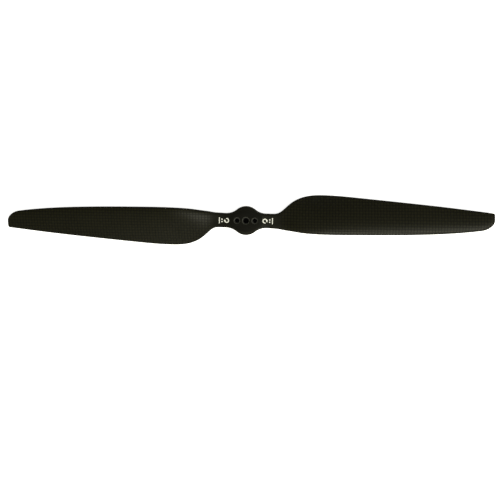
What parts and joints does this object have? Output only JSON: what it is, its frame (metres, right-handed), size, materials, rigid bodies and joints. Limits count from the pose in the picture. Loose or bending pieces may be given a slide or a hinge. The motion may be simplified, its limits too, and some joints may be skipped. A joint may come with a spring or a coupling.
{
  "type": "two-blade propeller",
  "caption": "Slim two-blade carbon fibre propeller that turns clockwise, with a round flat hub, a centre bore, two bolt holes and squared-off tips.",
  "frame": {"origin": "on the centre bore's axis, in the plane of the hub's lower face, where the propeller sits on a motor", "axes": "+Z along the bore, in the thrust direction, from the lower face to the upper; +X along the right blade, whose leading edge is towards -Y; +Y across the blade"},
  "size_m": [0.3302, 0.0354, 0.0121],
  "materials": {
    "woven_skin": "satin clear resin over plain-weave carbon cloth",
    "spar_carbon": "cured straight-fibre carbon ply",
    "hub_carbon": "cut carbon plate",
    "foam": "fine rigid foam",
    "edge_carbon": "cured carbon tow",
    "edge_resin": "thickened epoxy",
    "print": "matt white print"
  },
  "bodies": {
    "root": {"top_skin": "woven_skin", "bottom_skin": "woven_skin", "top_spar_ply": "spar_carbon", "bottom_spar_ply": "spar_carbon", "hub_block": "hub_carbon", "top_hub_doubler": "hub_carbon", "bottom_hub_doubler": "hub_carbon", "right_foam_core": "foam", "left_foam_core": "foam", "right_leading_tow": "edge_carbon", "left_leading_tow": "edge_carbon", "right_trailing_filler": "edge_resin", "left_trailing_filler": "edge_resin", "right_mark": "print", "left_mark": "print"}
  },
  "joints": []
}
